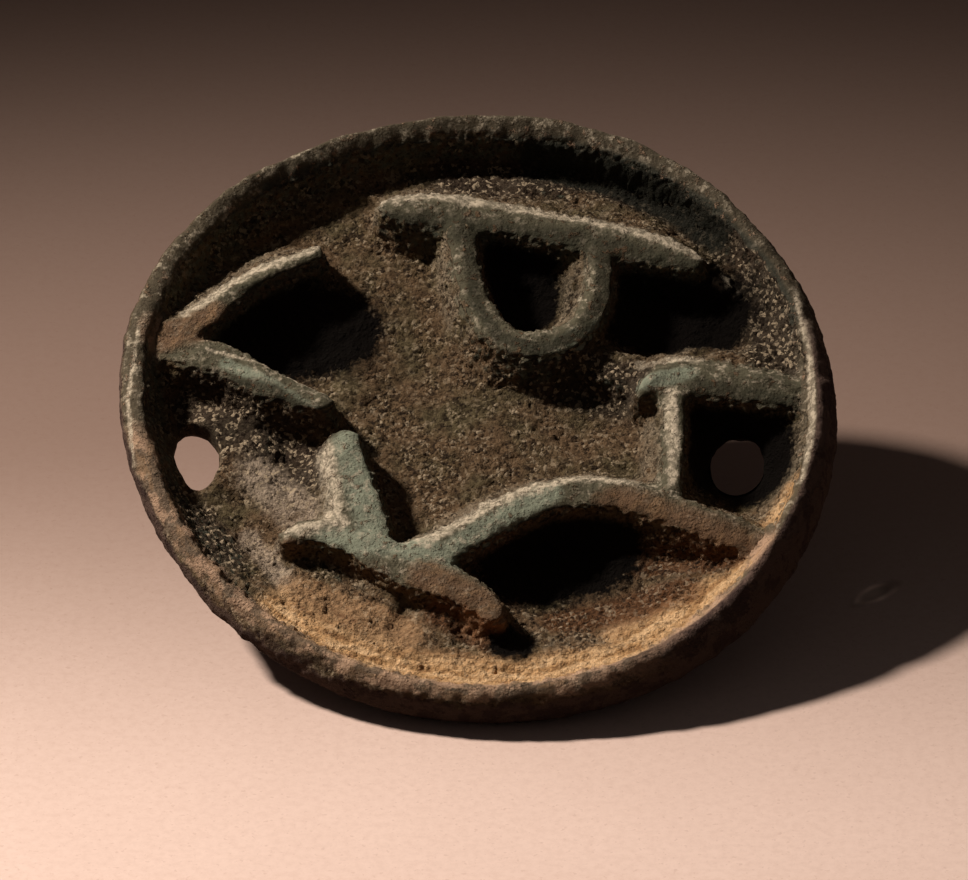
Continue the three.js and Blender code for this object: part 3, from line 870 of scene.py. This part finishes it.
def addFinish(finish):
    material, wire, shader = newMaterial(finish["name"])
    coords = wire.node("ShaderNodeTexCoord", {}, {}, "Object")
    place = wire.node(
        "ShaderNodeMapping", {"vector_type": "TEXTURE"},
        {0: coords, 1: rimCentre, 2: (lean, 0, 0), 3: (mm, mm, mm)},
    )
    turned = wire.node(
        "ShaderNodeVectorRotate", {"rotation_type": "X_AXIS"},
        {"Vector": wire.node("ShaderNodeTexCoord", {}, {}, "Normal"), "Angle": -lean},
    )
    height = place.dot(zWay)
    flat = place.times((1, 1, 0))
    across, along, reach = flat.dot(xWay), flat.dot(yWay), flat.size()
    level = turned.dot(zWay)
    outward = turned.dot(flat.unit())
    azimuth = math.radians(ground["lampAzimuth"])
    lampward = turned.dot((math.cos(azimuth), math.sin(azimuth), 0))

    broad = place.noise(*noises["broad"])
    patch = place.noise(*noises["patch"])
    mottle = place.noise(*noises["mottle"])
    grain = place.noise(*noises["grain"])
    fine = place.noise(*noises["fine"])
    clumps = ramp(place.noise(*noises["clumps"]), "clumps")
    blots = ramp(place.noise(*noises["blots"]), "blots")
    crumbs = place.cells(ground["crumbs"])
    tone = place.cells(ground["crumbs"], output=1).dot(xWay)
    around = wire.sum("ARCTAN2", along, across) * ground["streakAround"]
    streak = (reach * ground["streakReach"]).beside(around).noise(*noises["streak"])

    def coat(name, ragged=1.0):  # a painted coat with a ragged edge
        push = mottle * strengths["coatMottle"] + patch * strengths["coatPatch"]
        push = (push - strengths["coatMiddle"]) * ragged
        return ramp(wire.painted(name) + push, "coat")

    gloomShade, wallShade, pitShadow, ochre, rust, sandAndPaintedLight, pale = [
        coat(name) for name in ("gloomShade", "wallShade", "pitShadow", "ochre", "rust", "sandAndPaintedLight", "pale")
    ]

    # earth, with painted light in a sand colour where it leans towards the lamp, painted shade in
    # patches, and green patina on the shadowed wall, brightened as painted fill light
    colour = ramp(broad, "olive").blend(ground["earth"], ground["olive"])
    # painted light: a sand colour on what leans towards the lamp
    lampLit = ramp(lampward, "leeLean") * ramp(height, "leeHeight") * ramp(height, "leeTop")
    patchy = strengths["lampLitSand"] + strengths["leePatch"] * ramp(patch, "leePatch")
    colour = colour.tint(lampLit * patchy, ground["lampLitSand"])
    # painted shade in patches
    colour = colour.tint(gloomShade * strengths["gloomShade"], ground["gloomShade"])
    # green patina on the wall's shadowed side, made brighter as painted fill light
    green = ramp(height, "greenHeight") * ramp(outward, "greenInward")
    green = green * ramp(lampward, "greenShadow") * ramp(mottle, "greenMottle")
    colour = colour.tint(green * strengths["greenAndFillLight"], ground["greenAndFillLight"])

    # pale dust, and ochre that grows lighter and streaky towards the wall
    ochre = ochre * ramp(height, "ochreHeight") * ramp(reach, "ochreReach")
    colour = colour.tint(pale * ramp(height, "paleHeight") * strengths["pale"], ground["pale"])
    colour = colour.tint(ochre * strengths["brownOchre"], ground["brownOchre"])
    shore = ochre * ramp(reach, "shoreReach")
    colour = colour.tint(shore * strengths["ochre"], ground["ochre"])
    light = shore * ramp(streak, "shoreStreak")
    colour = colour.tint(light * strengths["paleOchre"], ground["paleOchre"])
    rusty = ochre * ramp(streak, "rustStreak")
    colour = colour.tint(rusty * strengths["rustStreak"], ground["rust"])
    colour = colour.tint(rust * strengths["rust"], ground["rust"])

    # painted shade in the hollows of the grain, crumbs darker at random, bright crumbs with painted
    # highlights, and painted shadow that blackens the deep corners
    gritty = (1 - strengths["ochreCover"] * ochre) * (1 - strengths["paleCover"] * pale)
    hollow = ramp(grain, "shadeGrain") * gritty
    colour = colour.tint(hollow * strengths["grainShade"], ground["shade"])
    hollow = ramp(tone, "shadeTone") * gritty
    clumpy = strengths["toneShade"] + strengths["clumpShade"] * clumps
    colour = colour.tint(hollow * clumpy, ground["shade"])
    # bright crumbs: pale grains, with painted highlights where they face out of the dish and in the
    # painted shade
    bright = ramp(tone + (grain - 0.5) * strengths["brightGrain"], "brightTone")
    where = clumps * strengths["brightClumps"]
    where = where + ramp(patch, "brightPatch") * strengths["brightPatch"]
    where = where + gloomShade * strengths["brightGloom"] + pale * strengths["brightPale"]
    colour = colour.tint(bright * where * gritty * ramp(level, "brightLean"), ground["crumbAndHighlight"])
    # painted shadow that blackens the deep corners
    black = (pitShadow * strengths["pitShadow"]).lowest(1) * ramp(height, "pitShadowHeight")
    colour = colour.tint(black, ground["pitShadow"])
    # painted shade on the upper right inner wall
    colour = colour.tint(wallShade * ramp(height, "wallShadeHeight") * strengths["wallShade"], ground["wallShade"])
    relief = ramp(crumbs, "crumbEdge") * (bumps["crumbs"] + bumps["clumps"] * clumps)
    relief = (relief + grain * bumps["grain"] + fine * bumps["fine"]) * gritty
    relief = relief + mottle * bumps["mottle"]

    if "top" in finish:  # smooth patina on the high parts, worn through to brown in places
        high = ramp(height + patch * strengths["crestRagged"], "crestHeight")
        high = high * ramp(level, "crestLean")
        worn = ramp(place.noise(*noises["wornSpots"]), "wornSpots")
        bare = coat("bare").highest(worn * strengths["wornSpots"])
        # dark patina, in part painted shade
        dark = coat("dark", strengths["darkRagged"])
        skin = coat("teal").blend(finish["top"], finish["teal"])
        skin = skin.tint(dark, finish["dark"])
        skin = skin.tint(bare * strengths["bare"], finish["bare"])
        skin = skin.tint(bare * blots * finish["blotted"], finish["dark"])
        brown = bare * ramp(streak, "brownStreak")
        skin = skin.tint(brown * strengths["brownStreak"], ground["brownOchre"])
        dusty = strengths["crestSand"] - strengths["crestSandDark"] * dark
        dusty = dusty - strengths["crestSandBare"] * bare
        dusty = ramp(mottle, "crestMottle") * ramp(patch, "crestPatch") * dusty
        skin = skin.tint(dusty, ground["sandAndPaintedLight"])
        # painted shade in the hollows of the grain on the high parts
        skin = skin.tint(ramp(grain, "crestGrain") * strengths["crestGrain"], ground["shade"])
        colour = colour.tint(high * strengths["crest"], skin)
        smooth = strengths["crestSmooth"] * high * (1 - bare * strengths["bareRough"])
        relief = relief * (1 - smooth)

    # sand on the flanks, with painted light where they face the lamp and painted highlights along
    # the lip, and the crust of the outside and the back, with painted shade on the outer edge of
    # the right-hand rim
    dusted = sandAndPaintedLight * ramp(height, "dustHeight") * ramp(lampward, "dustLean")
    dusted = dusted * (strengths["dust"] + strengths["dustMottle"] * ramp(mottle, "dustMottle"))
    colour = colour.tint(dusted, ground["sandAndPaintedLight"])
    # painted shade: the crust colour on the outer edge of the right-hand rim
    eastRimShade = ramp(across, "easternAcross") * ramp(along, "easternUp")
    outer = ramp(outward, "outerOutward") * ramp(reach, "outerReach") * ramp(level, "outerLean")
    outer = outer.highest(ramp(reach, "easternReach") * eastRimShade)
    outer = outer.highest(ramp(height, "underside"))
    crust = blots.blend(ground["outer"], ground["outerBlot"])
    colour = colour.tint(outer * strengths["outer"], crust)

    tree = material.node_tree
    tree.links.new(colour.socket, shader.inputs["Base Color"])
    bump = wire.node("ShaderNodeBump", {}, {"Strength": 1.0, "Distance": mm, "Height": relief})
    tree.links.new(bump.socket, shader.inputs["Normal"])
    shader.inputs["Roughness"].default_value = ground["roughness"]
    shader.inputs["Specular IOR Level"].default_value = ground["sheen"]
    return material


materials = {slot: addFinish(finish) for slot, finish in finishes.items()}
print("finishes done:", ", ".join(finish["name"] for finish in finishes.values()))


sharpEdge = 70  # degrees, past which an edge isn't shaded smooth
slots = {entry["node"]: entry["material_slot"] for entry in frame["record"]["subparts"]}
for node, part in parts.items():
    part.data.materials.clear()
    part.data.materials.append(materials[slots[node]])
    paintCoats(part)
    part.data.transform(faceToRow)
    pick(part)
    bpy.ops.object.shade_smooth_by_angle(angle=math.radians(sharpEdge))
    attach(part, "root")
    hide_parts(*[node])
print("coats painted, pieces in place:", len(parts))
